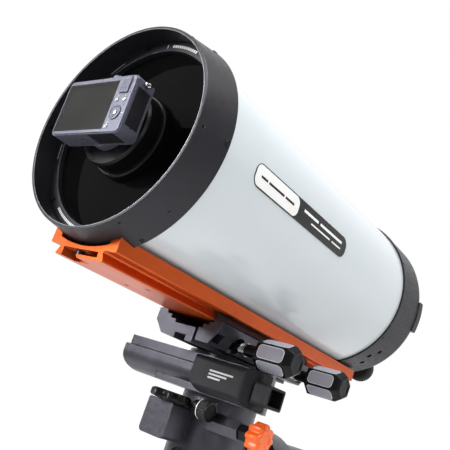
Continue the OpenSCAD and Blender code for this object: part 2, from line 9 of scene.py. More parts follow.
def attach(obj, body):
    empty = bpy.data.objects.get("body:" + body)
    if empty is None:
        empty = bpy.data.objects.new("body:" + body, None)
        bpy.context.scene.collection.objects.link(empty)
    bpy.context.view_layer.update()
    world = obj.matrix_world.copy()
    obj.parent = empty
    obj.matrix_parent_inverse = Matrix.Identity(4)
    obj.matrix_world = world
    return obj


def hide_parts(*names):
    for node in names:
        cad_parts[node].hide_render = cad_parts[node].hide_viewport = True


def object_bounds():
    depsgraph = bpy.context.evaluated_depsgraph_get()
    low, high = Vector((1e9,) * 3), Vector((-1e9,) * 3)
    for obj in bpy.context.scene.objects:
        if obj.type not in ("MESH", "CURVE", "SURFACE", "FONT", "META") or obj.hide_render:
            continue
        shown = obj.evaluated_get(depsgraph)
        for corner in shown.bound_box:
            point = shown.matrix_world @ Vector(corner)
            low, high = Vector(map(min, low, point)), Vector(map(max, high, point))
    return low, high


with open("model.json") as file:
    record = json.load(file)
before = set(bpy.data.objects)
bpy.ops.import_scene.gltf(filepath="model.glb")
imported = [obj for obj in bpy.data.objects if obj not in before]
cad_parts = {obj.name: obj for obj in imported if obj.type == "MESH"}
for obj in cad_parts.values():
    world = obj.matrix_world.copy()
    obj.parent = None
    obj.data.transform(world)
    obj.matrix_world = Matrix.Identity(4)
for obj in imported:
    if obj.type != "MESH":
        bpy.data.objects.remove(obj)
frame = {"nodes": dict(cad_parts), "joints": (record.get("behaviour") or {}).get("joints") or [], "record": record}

# A Schmidt telescope with a camera on its front, on an equatorial mount head. Sizes of the object
# are in millimetres and become metres in the functions that build meshes. Materials, the room, its
# lamps and the camera's place are in metres.
cad_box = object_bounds()
MM = 0.001
nodes = frame["nodes"]
joints = {j["name"]: j for j in frame["joints"]}


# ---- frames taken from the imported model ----

def axes(x, y, z, origin):
    """A matrix with these axes and this origin, in metres."""
    m = Matrix((x, y, z)).transposed().to_4x4()
    m.translation = origin
    return m


def extent(node, place):
    """(lowest, highest) corner of a CAD node in a frame of its own, in millimetres."""
    back = place.inverted()
    points = [back @ v.co / MM for v in nodes[node].data.vertices]
    return (
        Vector([min(p[i] for p in points) for i in range(3)]),
        Vector([max(p[i] for p in points) for i in range(3)]),
    )


forward = Vector(joints["camera_rotation"]["axis"]).normalized()
away = Vector(joints["dec_axis"]["axis"]).normalized()
side = away.cross(forward)
on_axis = Vector(joints["camera_rotation"]["pos_m"])
ring_face = extent("front_ring", axes(side, away, forward, on_axis))[1].z
# x sideways, y away from the rail, z forwards from the front ring's front face
tube = axes(side, away, forward, on_axis + forward * ring_face * MM)

camera_up = Vector(joints["mode_dial_turn"]["axis"]).normalized()
camera_side = camera_up.cross(forward)
roughly = axes(camera_side, camera_up, forward, on_axis)
body_lo, body_hi = extent("camera_body", roughly)
# The camera's own frame, centred on its body, with z = 0 at the screen side
camera_frame = axes(
    camera_side, camera_up, forward,
    roughly @ (Vector(((body_lo.x + body_hi.x) / 2, (body_lo.y + body_hi.y) / 2, 0)) * MM)
    + forward * extent("camera_screen", roughly)[1].z * MM,
)

tube_r = extent("optical_tube", tube)[1].x
label_lo, label_hi = extent("tube_label", tube)


# ---- materials ----

class Nodes:
    """A material's node tree, with short calls for adding and linking nodes."""

    def __init__(self, name):
        self.material = bpy.data.materials.new(name)
        self.material.use_nodes = True
        self.tree = self.material.node_tree
        self.shader = self.tree.nodes["Principled BSDF"]

    def add(self, kind, **settings):
        node = self.tree.nodes.new(kind)
        for key, value in settings.items():
            setattr(node, key, value)
        return node

    def link(self, a, b):
        self.tree.links.new(a, b)

    def noise(self, vector, scale, detail=3.0, roughness=0.5):
        node = self.add("ShaderNodeTexNoise")
        node.inputs["Scale"].default_value = scale
        node.inputs["Detail"].default_value = detail
        node.inputs["Roughness"].default_value = roughness
        self.link(vector, node.inputs["Vector"])
        return node.outputs["Fac"]

    def span(self, value, from_low, from_high, to_low, to_high):
        node = self.add("ShaderNodeMapRange")
        for key, number in zip(("From Min", "From Max", "To Min", "To Max"),
                               (from_low, from_high, to_low, to_high)):
            node.inputs[key].default_value = number
        self.link(value, node.inputs["Value"])
        return node.outputs["Result"]

    def math(self, operation, a, b):
        node = self.add("ShaderNodeMath", operation=operation)
        for socket, value in zip(node.inputs, (a, b)):
            if isinstance(value, (int, float)):
                socket.default_value = value
            else:
                self.link(value, socket)
        return node.outputs[0]

    def mix(self, factor, a, b):
        node = self.add("ShaderNodeMix", data_type="RGBA")
        for key, value in ((6, a), (7, b)):
            if isinstance(value, tuple):
                node.inputs[key].default_value = value + (1.0,)
            else:
                self.link(value, node.inputs[key])
        self.link(factor, node.inputs[0])
        return node.outputs[2]


def shade(color, amount):
    return tuple(min(1.0, c * amount) for c in color)


def finish_of(name, color, rough, metal=0.0, grain=900.0, bump=0.1, depth=0.00006, mottle=0.12,
              vary=0.08, wear_and_sheen=None, wear_and_sheen_share=0.5, edge=0.0005, coat=0.0, stretch=(1, 1, 1), specular=0.5):
    """A surface with grain in its relief, cloudy colour and roughness, and rounded edges painted lighter, as wear
    and, on the front ring, also as a painted highlight.

    grain is how many grains fit in a metre, depth how high they stand, mottle and vary how much the
    colour and roughness change, the edge colour that of edges lighter from wear and, on the front ring, also a
    painted highlight, and edge the radius that they are rounded to.
    """
    n = Nodes(name)
    coords = n.add("ShaderNodeTexCoord").outputs["Object"]
    turn = n.add("ShaderNodeMapping")
    turn.inputs["Rotation"].default_value = tube.to_3x3().inverted().to_euler()
    n.link(coords, turn.inputs["Vector"])
    scaled = n.add("ShaderNodeMapping")
    scaled.inputs["Scale"].default_value = stretch
    n.link(turn.outputs["Vector"], scaled.inputs["Vector"])
    fine = n.noise(scaled.outputs["Vector"], grain, 2.0, 0.6)
    cloud = n.noise(turn.outputs["Vector"], 22.0, 4.0, 0.6)
    mid = n.noise(scaled.outputs["Vector"], grain / 9, 3.0, 0.6)
    tint = n.span(n.math("ADD", n.math("MULTIPLY", cloud, 0.65), n.math("MULTIPLY", fine, 0.35)),
                  0.3, 0.7, 0.0, 1.0)
    shown = n.mix(tint, shade(color, 1 - mottle), shade(color, 1 + mottle))
    rounded_edge = n.add("ShaderNodeBevel", samples=4)
    rounded_edge.inputs["Radius"].default_value = edge
    if wear_and_sheen:
        flat = n.add("ShaderNodeNewGeometry").outputs["Normal"]
        likeness = n.add("ShaderNodeVectorMath", operation="DOT_PRODUCT")
        n.link(rounded_edge.outputs["Normal"], likeness.inputs[0])
        n.link(flat, likeness.inputs[1])
        rim = n.span(likeness.outputs["Value"], 0.99, 0.82, 0.0, 1.0)
        patchy = n.span(mid, 0.42, 0.62, 0.0, wear_and_sheen_share)
        shown = n.mix(n.math("MULTIPLY", rim, patchy), shown, wear_and_sheen)
    n.link(shown, n.shader.inputs["Base Color"])
    n.link(n.span(mid, 0.3, 0.7, max(0.02, rough - vary), min(1.0, rough + vary)),
           n.shader.inputs["Roughness"])
    relief = n.add("ShaderNodeBump")
    relief.inputs["Strength"].default_value = bump
    relief.inputs["Distance"].default_value = depth
    n.link(fine, relief.inputs["Height"])
    n.link(rounded_edge.outputs["Normal"], relief.inputs["Normal"])
    n.link(relief.outputs["Normal"], n.shader.inputs["Normal"])
    n.shader.inputs["Metallic"].default_value = metal
    n.shader.inputs["Coat Weight"].default_value = coat
    n.shader.inputs["Coat Roughness"].default_value = 0.08
    n.shader.inputs["Specular IOR Level"].default_value = specular
    n.material.diffuse_color = color + (1.0,)
    return n.material


finishes = {
    # The front ring's edges are lighter: partly wear, partly a painted highlight along its lip.
    "charcoal_coat": finish_of("charcoal_coat", (0.024, 0.024, 0.029), 0.40, metal=0.35, grain=1500,
                               bump=0.5, depth=0.0001, wear_and_sheen=(0.42, 0.42, 0.45), wear_and_sheen_share=0.8,
                               specular=0.28),
    "pearl_paint": finish_of("pearl_paint", (0.56, 0.605, 0.63), 0.22, grain=180, bump=0.0,
                             mottle=0.015, vary=0.03, coat=0.5),
    "orange_anodised": finish_of("orange_anodised", (0.53, 0.080, 0.009), 0.36, metal=0.75, grain=500,
                                 bump=0.1, mottle=0.08, wear_and_sheen=(0.95, 0.50, 0.25), wear_and_sheen_share=0.7,
                                 stretch=(3, 3, 0.05)),
    "mount_coat": finish_of("mount_coat", (0.066, 0.064, 0.078), 0.36, metal=0.7, grain=1900,
                            bump=0.45, mottle=0.3, wear_and_sheen=(0.40, 0.40, 0.43), wear_and_sheen_share=0.7),
    "cover_plastic": finish_of("cover_plastic", (0.010, 0.010, 0.012), 0.5, grain=1600, bump=0.3,
                               wear_and_sheen=(0.10, 0.10, 0.105), wear_and_sheen_share=0.5, specular=0.19),
    "black_anodised": finish_of("black_anodised", (0.006, 0.006, 0.007), 0.34, metal=0.2, grain=700,
                                wear_and_sheen=(0.16, 0.16, 0.165), wear_and_sheen_share=0.6, stretch=(1, 1, 0.1),
                                specular=0.3),
    "knob_plastic": finish_of("knob_plastic", (0.005, 0.005, 0.006), 0.26, grain=800, bump=0.08,
                              wear_and_sheen=(0.13, 0.13, 0.14), wear_and_sheen_share=0.6, edge=0.0012, specular=0.15),
    "orange_plastic": finish_of("orange_plastic", (0.80, 0.115, 0.010), 0.34, grain=800, bump=0.1,
                                wear_and_sheen=(0.9, 0.35, 0.12), wear_and_sheen_share=0.4, edge=0.001),
    "steel": finish_of("steel", (0.50, 0.50, 0.52), 0.26, metal=1.0, grain=900, bump=0.1, mottle=0.08,
                       wear_and_sheen=(0.75, 0.75, 0.76), stretch=(1, 1, 0.2)),
    "brass": finish_of("brass", (0.62, 0.44, 0.17), 0.3, metal=1.0, grain=900, wear_and_sheen=(0.8, 0.62, 0.3)),
    "mirror_coat": finish_of("mirror_coat", (0.9, 0.9, 0.91), 0.03, metal=1.0, grain=120, bump=0.01,
                             mottle=0.01, vary=0.01),
    # The corrector's near-black stands for the dark tube seen through the glass: painted shade.
    "corrector_glass": finish_of("corrector_glass", (0.002, 0.0022, 0.002), 0.06, grain=60, bump=0.0,
                                 mottle=0.2, vary=0.02, specular=0.1),
    "camera_coat": finish_of("camera_coat", (0.125, 0.129, 0.170), 0.34, metal=0.5, grain=2200,
                             bump=0.2, mottle=0.12, wear_and_sheen=(0.26, 0.26, 0.29), wear_and_sheen_share=0.6, edge=0.0009),
    "camera_trim": finish_of("camera_trim", (0.5, 0.5, 0.53), 0.22, metal=1.0, grain=1500,
                             wear_and_sheen=(0.7, 0.7, 0.72), edge=0.0003),
    "screen": finish_of("screen", (0.012, 0.012, 0.011), 0.2, grain=200, bump=0.0, mottle=0.06,
                        vary=0.03, edge=0.0003, specular=0.35),
    "label_film": finish_of("label_film", (0.006, 0.006, 0.007), 0.3, grain=1200, bump=0.05,
                            edge=0.0003, coat=0.2),
    "rubber": finish_of("rubber", (0.010, 0.010, 0.011), 0.6, grain=1400, bump=0.4,
                        wear_and_sheen=(0.05, 0.05, 0.05), edge=0.0008, specular=0.3),
}
# Light grey for the black clamp knobs' inset panels, standing for the reflection on their faces: a painted
# reflection.
knob_panel_reflection_paint = finish_of("knob_panel_reflection_paint", (0.33, 0.33, 0.385), 0.42, metal=0.15, grain=2400, bump=0.12,
                       mottle=0.05, vary=0.05, edge=0.0003)
# Near-white used as a painted highlight: round the clamp knobs' panels and as the thin band on the latch.
edge_highlight_paint = finish_of("edge_highlight_paint", (0.82, 0.82, 0.86), 0.35, metal=0.1, grain=1500, mottle=0.03,
                        edge=0.0002)
badge_grey = finish_of("badge_grey", (0.46, 0.46, 0.48), 0.45, grain=1500, mottle=0.04, edge=0.0001)
# Grey lighter than the front ring, for the thin line round its lip: a painted highlight.
lip_highlight_paint = finish_of("lip_highlight_paint", (0.20, 0.20, 0.22), 0.35, metal=0.6, grain=1500, edge=0.0002)
# Black oxide for the screws; on the turntable flange the same black is painted shade.
black_oxide_and_painted_shade = finish_of("black_oxide_and_painted_shade", (0.012, 0.012, 0.014), 0.3, metal=0.5, grain=1200,
                        wear_and_sheen=(0.35, 0.35, 0.36), wear_and_sheen_share=0.6, edge=0.0003)
white_print = finish_of("white_print", (0.80, 0.80, 0.79), 0.4, grain=1500, mottle=0.04, edge=0.0001)
baffle_black = finish_of("baffle_black", (0.006, 0.006, 0.006), 0.85, grain=900, bump=0.3, specular=0.1)

for part in frame["record"]["subparts"]:
    mesh = nodes[part["node"]].data
    mesh.materials.clear()
    mesh.materials.append(finishes[part["material_slot"]])

for node in ("tube_screws", "retaining_ring_screws", "rail_screws"):
    nodes[node].data.materials[0] = black_oxide_and_painted_shade
nodes["control_ring"].data.materials[0] = finishes["camera_coat"]

# The turntable flange is painted black, painted shade for the dark gap between the saddle and the housing, and the
# faces nearer the axis, the shaft's, stay bright
shaft = nodes["dec_shaft"].data
shaft.materials.append(black_oxide_and_painted_shade)
to_dec = axes(side, forward, away, Vector(joints["dec_axis"]["pos_m"])).inverted()
flange_r = max((to_dec @ v.co).xy.length for v in shaft.vertices)
for face in shaft.polygons:
    face.material_index = int((to_dec @ face.center).xy.length > flange_r / 3)

# The tube is painted outside and flat black inside
tube_mesh = nodes["optical_tube"].data
tube_mesh.materials.append(baffle_black)
to_tube = tube.inverted()
half_wall = 0.75
for face in tube_mesh.polygons:
    centre = to_tube @ face.center / MM
    face.material_index = int(centre.xy.length < tube_r - half_wall)


# ---- builders ----

def keep(name, bm, place, material, body, smooth=None):
    """Turns a bmesh drawn in millimetres in a frame into a piece that rides on a body.

    Faces are shaded smooth where smooth is given, except at edges sharper than that many degrees.
    """
    bmesh.ops.recalc_face_normals(bm, faces=bm.faces[:])
    mesh = bpy.data.meshes.new(name)
    for v in bm.verts:
        v.co = place @ (v.co * MM)
    bm.to_mesh(mesh)
    bm.free()
    mesh.materials.append(material)
    piece = bpy.data.objects.new(name, mesh)
    bpy.context.scene.collection.objects.link(piece)
    if smooth is not None:
        for polygon in mesh.polygons:
            polygon.use_smooth = True
        mesh.set_sharp_from_angle(angle=math.radians(smooth))
    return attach(piece, body)


def rounded(x0, y0, x1, y1, r, steps=8):
    """Outline of a rectangle with round corners."""
    corners = [(x1 - r, y1 - r, 0), (x0 + r, y1 - r, 90), (x0 + r, y0 + r, 180), (x1 - r, y0 + r, 270)]
    return [
        (cx + r * math.cos(math.radians(start + 90 * k / steps)),
         cy + r * math.sin(math.radians(start + 90 * k / steps)))
        for cx, cy, start in corners for k in range(steps + 1)
    ]


def disc(x, y, r, steps=32):
    return [(x + r * math.cos(2 * math.pi * k / steps), y + r * math.sin(2 * math.pi * k / steps))
            for k in range(steps)]


def film(name, outlines, thickness, bend, place, material, body, strips=()):
    """Flat outlines given a thickness and bent: bend takes (u, v, height) to a point of the frame.

    strips are the values of u at which the outlines are cut, so that they can follow a curve.
    """
    bm = bmesh.new()
    for outline in outlines:
        bm.faces.new([bm.verts.new((u, v, 0)) for u, v in outline])
    for u in strips:
        bmesh.ops.bisect_plane(bm, geom=bm.verts[:] + bm.edges[:] + bm.faces[:],
                               plane_co=(u, 0, 0), plane_no=(1, 0, 0))
    grown = bmesh.ops.extrude_face_region(bm, geom=bm.faces[:])
    for item in grown["geom"]:
        if isinstance(item, bmesh.types.BMVert):
            item.co.z += thickness
    for v in bm.verts:
        v.co = bend(*v.co)
    return keep(name, bm, place, material, body)


def flat_sided(a, sides, cut=0.982):
    """How far out a polygon with its corners cut reaches at an angle, as a share of its corner radius."""
    half = math.pi / sides
    return min(math.cos(half) / math.cos((a % (2 * half)) - half), cut)


def turned(name, stations, place, material, body, lobes=0, around=96, smooth=35, sides=0):
    """A piece turned about z. Stations are (z, radius, depth of the lobes' valleys).

    With sides, its section is a polygon with cut corners in place of a circle.
    """
    bm = bmesh.new()
    rings = []
    for z, r, valley in stations:
        ring = []
        for k in range(around):
            a = 2 * math.pi * k / around
            reach = r - valley * (0.5 - 0.5 * math.cos(lobes * a))
            if sides:
                reach *= flat_sided(a, sides)
            ring.append(bm.verts.new((reach * math.cos(a), reach * math.sin(a), z)))
        rings.append(ring)
    for low, high in zip(rings, rings[1:]):
        for k in range(around):
            bm.faces.new((low[k], low[(k + 1) % around], high[(k + 1) % around], high[k]))
    bm.faces.new(rings[0][::-1])
    bm.faces.new(rings[-1])
    return keep(name, bm, place, material, body, smooth)


def about(joint):
    """A frame whose z is a joint's axis and whose origin is the joint's place."""
    z = Vector(joints[joint]["axis"]).normalized()
    x = (side if abs(z.dot(side)) < 0.5 else forward).normalized()
    x = (x - z * x.dot(z)).normalized()
    return axes(x, z.cross(x), z, Vector(joints[joint]["pos_m"]))


# ---- marks on the retaining ring ----

mark_height = 0.12
ring_top = extent("retaining_ring", tube)[1].z


def on_ring(u, v, h):
    """u is an angle in degrees and v a radius."""
    a = math.radians(u)
    return Vector((v * math.cos(a), v * math.sin(a), ring_top + h))


def dashes(first, last, count, low, high, fill=0.62):
    """Plain dashes between two angles of the ring."""
    pitch = (last - first) / count
    return [
        [(first + k * pitch, low), (first + (k + fill) * pitch, low),
         (first + (k + fill) * pitch, high), (first + k * pitch, high)]
        for k in range(count)
    ]


film("ring_scale_marks", dashes(63, 85, 12, 116.2, 119.6) + dashes(-127, -103, 16, 116.2, 119.4)
     + dashes(122, 133, 14, 116.6, 118.0, 0.5) + dashes(-174, -164, 14, 116.6, 118.0, 0.5),
     mark_height, on_ring, tube, white_print, "telescope")
film("ring_index_mark", [[(88.3, 115.4), (88.8, 115.4), (88.8, 120.4), (88.3, 120.4)]],
     mark_height, on_ring, tube, white_print, "telescope")


def on_lip(u, v, h):
    """u is an angle in degrees and v a radius, on the front ring's front face."""
    a = math.radians(u)
    return Vector((v * math.cos(a), v * math.sin(a), h))


def lip_highlight_line():
    """A thin bright line round the inner edge of the front ring's front face, in short stretches: a painted
    highlight.
    """
    points = [to_tube @ v.co / MM for v in nodes["front_ring"].data.vertices]
    edge = min(p.xy.length for p in points if p.z > -0.05)
    low, high, stretch = edge + 0.1, edge + 0.7, 3
    film("lip_highlight_line", [[(a, low), (a + stretch, low), (a + stretch, high), (a, high)]
                      for a in range(0, 360, stretch)], 0.05, on_lip, tube, lip_highlight_paint, "telescope")


lip_highlight_line()


# ---- label on the tube's right side ----

label_mid = (label_lo.y + label_hi.y) / 2
label_skin = label_hi.x
label_end, label_start = label_lo.z, label_hi.z
label_half = (label_hi.y - label_lo.y) / 2
label_split = label_start - 0.43 * (label_start - label_end)


def on_tube(u, v, h):
    """u runs round the tube from the label's middle and v along it."""
    a = math.asin(label_mid / label_skin) + u / label_skin
    return Vector(((label_skin + h) * math.cos(a), (label_skin + h) * math.sin(a), v))


def label_film(name, outlines, material):
    film(name, outlines, mark_height, on_tube, tube, material, "telescope",
         strips=[k * 2.0 - label_half for k in range(int(label_half) + 1)])


margin = 1.5
label_film("label_white_panel",
           [rounded(margin - label_half, label_split + 1, label_half - margin, label_start - margin, 9)],
           white_print)


def bars(v0, v1, low, high, widths, gap=0.45):
    """A row of plain bars along v, with relative widths and even gaps."""
    unit = (v1 - v0) / (sum(widths) + gap * (len(widths) - 1))
    out, v = [], v0
    for w in widths:
        out.append([(low, v), (high, v), (high, v + w * unit), (low, v + w * unit)])
        v += (w + gap) * unit
    return out


film("label_dark_bars", bars(label_split + 12, label_start - 12, -1.4, 1.4, [3, 5, 2]),
     mark_height * 2, on_tube, tube, finishes["label_film"], "telescope", strips=[0])
label_film("label_white_bars",
           bars(label_end + 14, label_split - 12, 2.2, 5.6, [5, 3])
           + bars(label_end + 14, label_split - 34, -5.2, -3.2, [2, 4]),
           white_print)


# ---- knobs ----

# Length of a clamp knob's grip, and its panels' half width and corner radius
clamp_length = 56
panel_half, panel_round = 7.9, 4.8


def clamp_knob(name, joint, node):
    """A six-sided grip with cut corners, inset panels and a dished end, on a sleeve and a spring. The panels are
    light grey, a painted reflection, and each has a near-white rim, a painted highlight.
    """
    place = about(joint)
    lo, hi = extent(node, place)
    corner = max((place.inverted() @ v.co / MM for v in nodes[node].data.vertices),
                 key=lambda p: p.xy.length)
    turn, r, end = math.atan2(corner.y, corner.x), corner.xy.length, hi.z
    start = end - clamp_length
    grip = turned(name + "_grip", [
        (lo.z, 4.9, 0), (start - 0.2, 4.9, 0), (start, 13, 0), (start + 0.8, 15.5, 0),
        (start + 3.4, r - 0.7, 0), (start + 4.6, r, 0), (end - 9, r, 0), (end - 7.6, r - 0.5, 0),
        (end - 3.6, r - 3.4, 0), (end - 0.6, r - 5.4, 0), (end, r - 6.2, 0), (end, r - 8.6, 0),
        (end - 1.3, r - 9.4, 0), (end - 1.3, 0.4, 0),
    ], place @ Matrix.Rotation(turn, 4, "Z"), finishes["knob_plastic"], node, sides=6, smooth=24)
    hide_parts(node)
    for k in range(6):
        a = turn + math.radians(30 + 60 * k)
        out = Vector((math.cos(a), math.sin(a), 0))
        across = Vector((-math.sin(a), math.cos(a), 0))

        def on_flat(u, v, h, out=out, across=across):
            return out * (r * math.cos(math.pi / 6) + h - 0.02) + across * u + Vector((0, 0, v))

        # Each panel is light grey, a painted reflection, over a slightly larger near-white film whose rim is a
        # painted highlight.
        for ending, proud, grow, material in (("highlight_rim_", 0.2, 0.7, edge_highlight_paint), ("", 0.32, 0, knob_panel_reflection_paint)):
            outline = rounded(-panel_half - grow, start + 8.5 - grow, panel_half + grow, end - 11 + grow,
                              panel_round + (0.6 if grow else 0))
            film(f"{name}_panel_{ending}{k}", [outline], proud, on_flat, place, material, node)
    turned(name + "_sleeve", [
        (start - 20, 4.95, 0), (start - 20, 7.2, 0), (start - 19.4, 7.8, 0), (start - 3, 7.8, 0),
        (start - 2.4, 8.6, 0), (start - 0.1, 8.6, 0),
    ], place, finishes["knob_plastic"], node)
    turned(name + "_washer", [
        (start - 21.6, 5.2, 0), (start - 21.6, 8.6, 0), (start - 20.2, 8.6, 0), (start - 20.2, 5.2, 0),
    ], place, finishes["steel"], node)
    coil(name + "_spring", place, 6.9, 0.75, start - 29, start - 22.45, 4, "jaw")


def coil(name, place, r, wire, z0, z1, turns, body):
    """A round wire wound about z."""
    data = bpy.data.curves.new(name, "CURVE")
    data.dimensions = "3D"
    data.bevel_depth = wire * MM
    data.bevel_resolution = 3
    line = data.splines.new("POLY")
    count = turns * 20
    line.points.add(count)
    for k in range(count + 1):
        a = 2 * math.pi * k / 20
        p = place @ (Vector((r * math.cos(a), r * math.sin(a), z0 + (z1 - z0) * k / count)) * MM)
        line.points[k].co = (*p, 1.0)
    data.materials.append(finishes["steel"])
    piece = bpy.data.objects.new(name, data)
    bpy.context.scene.collection.objects.link(piece)
    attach(piece, body)


clamp_knob("front_clamp", "front_clamp_turn", "front_clamp_knob")
clamp_knob("rear_clamp", "rear_clamp_turn", "rear_clamp_knob")


def lock_knob():
    """A lobed orange grip on a six-sided black collar."""
    place = about("lock_turn")
    lo, hi = extent("lock_knob", place)
    collar, r = hi.z - 22, max(hi.x, hi.y)
    turned("lock_collar", [
        (lo.z, 4.9, 0), (collar - 15, 4.9, 0), (collar - 15, 10.4, 0), (collar - 14.2, 11, 0),
        (collar - 0.4, 11, 0), (collar - 0.05, 10.4, 0),
    ], place, finishes["knob_plastic"], "lock_knob", sides=6, smooth=24)
    grip = turned("lock_grip", [
        (collar, r - 6, 2), (collar + 1.2, r - 1.6, 3.6), (collar + 3, r, 4.2), (hi.z - 4, r, 4.2),
        (hi.z - 1.6, r - 1.4, 3.6), (hi.z - 0.2, r - 4.6, 2.4), (hi.z, r - 6.5, 0), (hi.z, 8, 0),
        (hi.z - 1, 7.2, 0), (hi.z - 1, 0.4, 0),
    ], place, finishes["orange_plastic"], "lock_knob", lobes=8, smooth=50)
    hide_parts("lock_knob")


def star_grip(name, joint, node, height, lobes, valley, material):
    """A scalloped grip on its stud that stands for a CAD star knob."""
    place = about(joint)
    lo, hi = extent(node, place)
    r, low = max(hi.x, hi.y, -lo.x, -lo.y), hi.z - height
    grip = turned(name, [
        (lo.z, 4.9, 0), (low, 4.9, 0), (low, r - 9, valley * 0.4), (low + 0.8, r - 2.4, valley * 0.9),
        (low + 2.4, r, valley), (hi.z - 3.2, r, valley), (hi.z - 1.2, r - 1.6, valley * 0.9),
        (hi.z - 0.1, r - 5.5, valley * 0.6), (hi.z, r - 8, valley * 0.3), (hi.z, 9, 0),
        (hi.z - 0.9, 8.2, 0), (hi.z - 0.9, 0.4, 0),
    ], place, finishes[material], node, lobes=lobes, around=lobes * 16, smooth=50)
    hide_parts(node)


lock_knob()
star_grip("clutch_grip", "clutch_turn", "clutch_knob", 12, 7, 5.5, "knob_plastic")
star_grip("altitude_grip", "altitude_knob_turn", "altitude_knob", 22, 7, 4.5, "knob_plastic")


def focus_grip():
    """A round rubber grip with fine flutes."""
    place = about("focus_turn")
    lo, hi = extent("focus_knob", place)
    r, z0, z1 = max(hi.x, hi.y), lo.z, hi.z
    grip = turned("focus_grip", [
        (z0 + 1.5, 0.4, 0), (z0 + 1.5, 11, 0), (z0, 12.4, 0), (z0, r - 5.4, 0), (z0 + 1.4, r - 2.6, 0),
        (z0 + 4, r - 1.2, 0.7), (z0 + 6.4, r, 1.4), (z1 - 3.4, r, 1.4), (z1 - 1.4, r - 2.4, 0.7),
        (z1, r - 5.2, 0), (z1, 0.4, 0),
    ], place, finishes["rubber"], "focuser", lobes=36, around=36 * 6, smooth=50)
    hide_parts("focus_knob")


focus_grip()


# ---- front cover's badge ----

cover_lo, cover_hi = extent("dec_front_cover", tube)


def on_cover(u, v, h):
    """u runs right from the cover's left edge and v up from its lower edge."""
    return Vector((cover_lo.x + u, cover_lo.y + v, cover_hi.z + h))


# Where the bars begin, where the longest one ends, and how tall each is
bar_start, bar_end, bar_height = 30, 68, 2.2
film("cover_badge_bars",
     [rounded(bar_start, v, bar_end - cut, v + bar_height, 1.0)
      for v, cut in ((28.4, 0), (24.1, 9), (19.8, 18))],
     0.25, on_cover, tube, badge_grey, "dec_unit")


# ---- camera details ----

cam_hi = extent("camera_body", camera_frame)[1]
thumb_z = cam_hi.z
back_z = extent("camera_screen", camera_frame)[1].z


def on_back(z):
    return lambda u, v, h: Vector((u, v, z + h))


def back_film(name, outlines, thickness, z, material):
    film(name, outlines, thickness, on_back(z), camera_frame, material, "camera")


dot_pitch = 2.2
back_film("camera_glass", [rounded(-47.6, -24.6, 23.6, 24.6, 0.6)], 0.15, back_z - 0.3,
          finishes["screen"])
back_film("camera_thumb_pad", [rounded(34.4, 13.4, 45.6, 30, 1.6)], 0.35, thumb_z - 0.05,
          finishes["camera_coat"])
back_film("camera_thumb_dots",
          [disc(36.6 + dot_pitch * i, 15.6 + dot_pitch * k, 0.5, 12) for i in range(4) for k in range(6)],
          0.25, thumb_z + 0.3, finishes["rubber"])
back_film("camera_top_panel", [rounded(-51, 29.6, -27, 32.4, 0.8)], 0.3, back_z - 0.6,
          finishes["camera_coat"])
back_film("camera_back_marks",
          [disc(34.9, 9.4, 0.5, 12), disc(45.5, 9.2, 0.5, 12), rounded(48.6, -11.4, 51.0, -10.6, 0.3),
           rounded(31.4, -21.6, 33.6, -20.9, 0.3)],
          0.1, back_z + 0.16, white_print)


def control_button():
    """The bright button in the middle of the control ring."""
    place = camera_frame.copy()
    place.translation = joints["control_ring_turn"]["pos_m"]
    top = extent("control_ring", place)[1].z
    turned("control_ring_button", [(top - 0.1, 3, 0), (top + 0.3, 3, 0), (top + 0.5, 2.6, 0),
                                   (top + 0.5, 0.1, 0)],
           place, finishes["camera_trim"], "control_ring", around=32)


control_button()


# The accessory shoe sits beside the mode dial, clear of its edge
shoe_mid = extent("mode_dial", camera_frame)[0].x - 12.5


def on_top(u, v, h):
    """u runs across the camera from the shoe's middle and v from its screen side to its lens side."""
    return Vector((shoe_mid + u, cam_hi.y + h, -v))


film("camera_shoe",
     [rounded(-9, 7, -6.6, 19, 0.4), rounded(6.6, 7, 9, 19, 0.4), rounded(-9, 16.8, 9, 19, 0.4)],
     1.2, on_top, camera_frame, finishes["camera_trim"], "camera")
film("camera_shoe_bed", [rounded(-6.4, 7, 6.4, 16.6, 0.4)], 0.3, on_top, camera_frame,
     finishes["cover_plastic"], "camera")


# ---- rear cell and mount details ----

def cap_screws(name, spots, place, body, normal, r=2.6):
    """Small socket screws with round heads, at points of a frame and facing along its normal."""
    for k, spot in enumerate(spots):
        z = Vector(normal).normalized()
        x = Vector((0, 0, 1)) if abs(z.z) < 0.9 else Vector((1, 0, 0))
        x = (x - z * x.dot(z)).normalized()
        at = place @ axes(x, z.cross(x), z, Vector(spot) * MM)
        turned(f"{name}_{k}", [
            (0, r, 0), (1.1, r, 0), (1.6, r - 0.45, 0), (1.7, r * 0.55, 0), (0.7, r * 0.5, 0),
            (0.7, 0.1, 0),
        ], at, black_oxide_and_painted_shade, body, around=24)


latch_lo, latch_hi = extent("latch_tube", tube)
latch_r = (latch_hi.y - latch_lo.y) / 2
latch_place = tube @ axes(Vector((0, 1, 0)), Vector((0, 0, 1)), Vector((1, 0, 0)),
                          Vector((latch_hi.x, latch_hi.y - latch_r, latch_hi.z - latch_r)) * MM)
turned("latch_ribs", [(-13.5, latch_r + 0.05, 0), (-13, latch_r + 0.9, 0.7), (-1.5, latch_r + 0.9, 0.7),
                      (-1, latch_r + 0.05, 0)], latch_place, finishes["rubber"], "dec_unit", lobes=26,
       around=26 * 6)
# A thin near-white band at the latch's ribbed end: a painted highlight.
turned("latch_highlight_band", [(-15.6, latch_r - 1, 0), (-15.6, latch_r + 0.3, 0), (-14.6, latch_r + 0.3, 0),
                      (-14.6, latch_r - 1, 0)], latch_place, edge_highlight_paint, "dec_unit")

